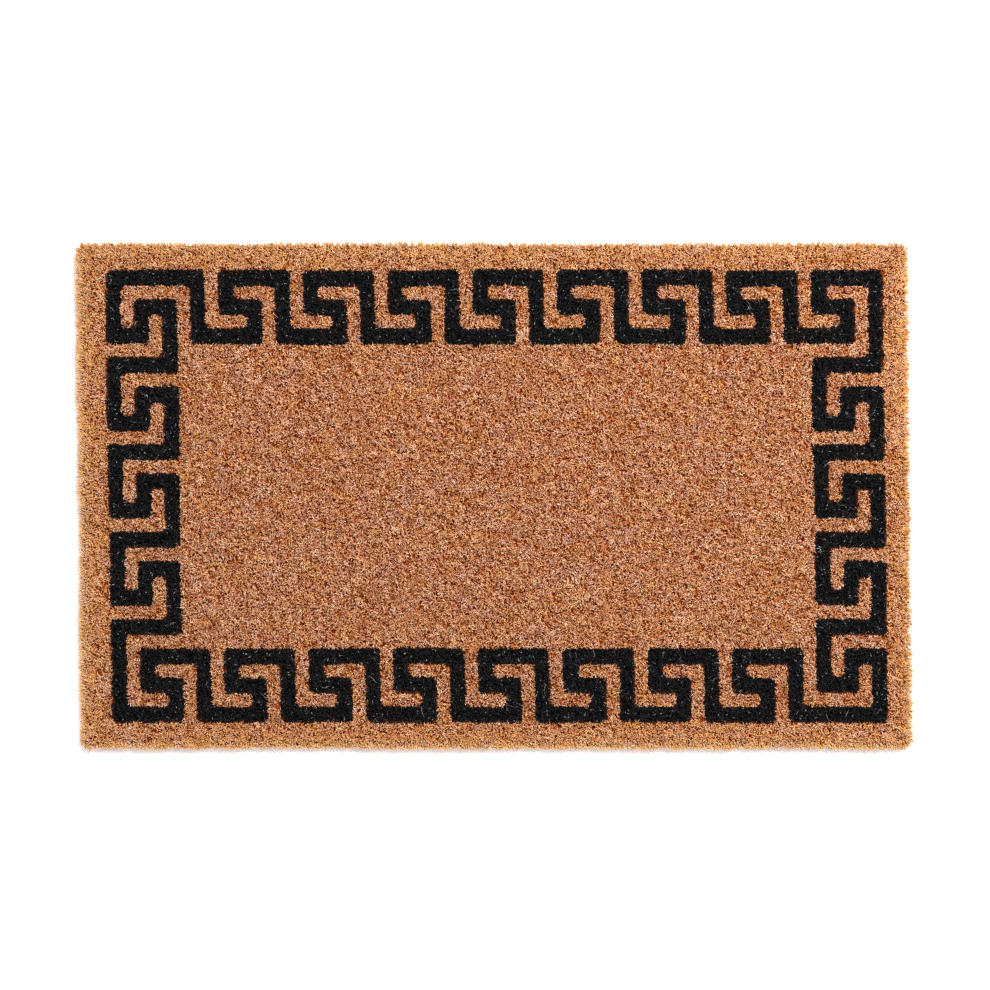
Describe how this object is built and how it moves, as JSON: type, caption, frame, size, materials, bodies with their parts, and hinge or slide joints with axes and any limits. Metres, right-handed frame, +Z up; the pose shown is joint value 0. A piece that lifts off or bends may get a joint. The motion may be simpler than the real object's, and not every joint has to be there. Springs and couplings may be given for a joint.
{
  "type": "door mat",
  "caption": "Flat rectangular coir door mat: dense sheared pile on a thin vinyl backing, with a black dyed Greek-key border around a plain field.",
  "frame": {"origin": "centre of the underside of the vinyl backing, where the mat lies on the floor", "axes": "+X along the long side, +Y along the short side towards the far edge, +Z up through the pile"},
  "size_m": [0.7152, 0.432, 0.015],
  "materials": {
    "vinyl": "matte, faintly pitted",
    "coir_margin": "rough, undyed sheared coir",
    "coir_black": "rough, coir dyed black",
    "coir_field": "rough, undyed sheared coir"
  },
  "bodies": {
    "root": {"vinyl_back": "vinyl", "margin_pile": "coir_margin", "key_pile": "coir_black", "field_pile": "coir_field"}
  },
  "joints": []
}
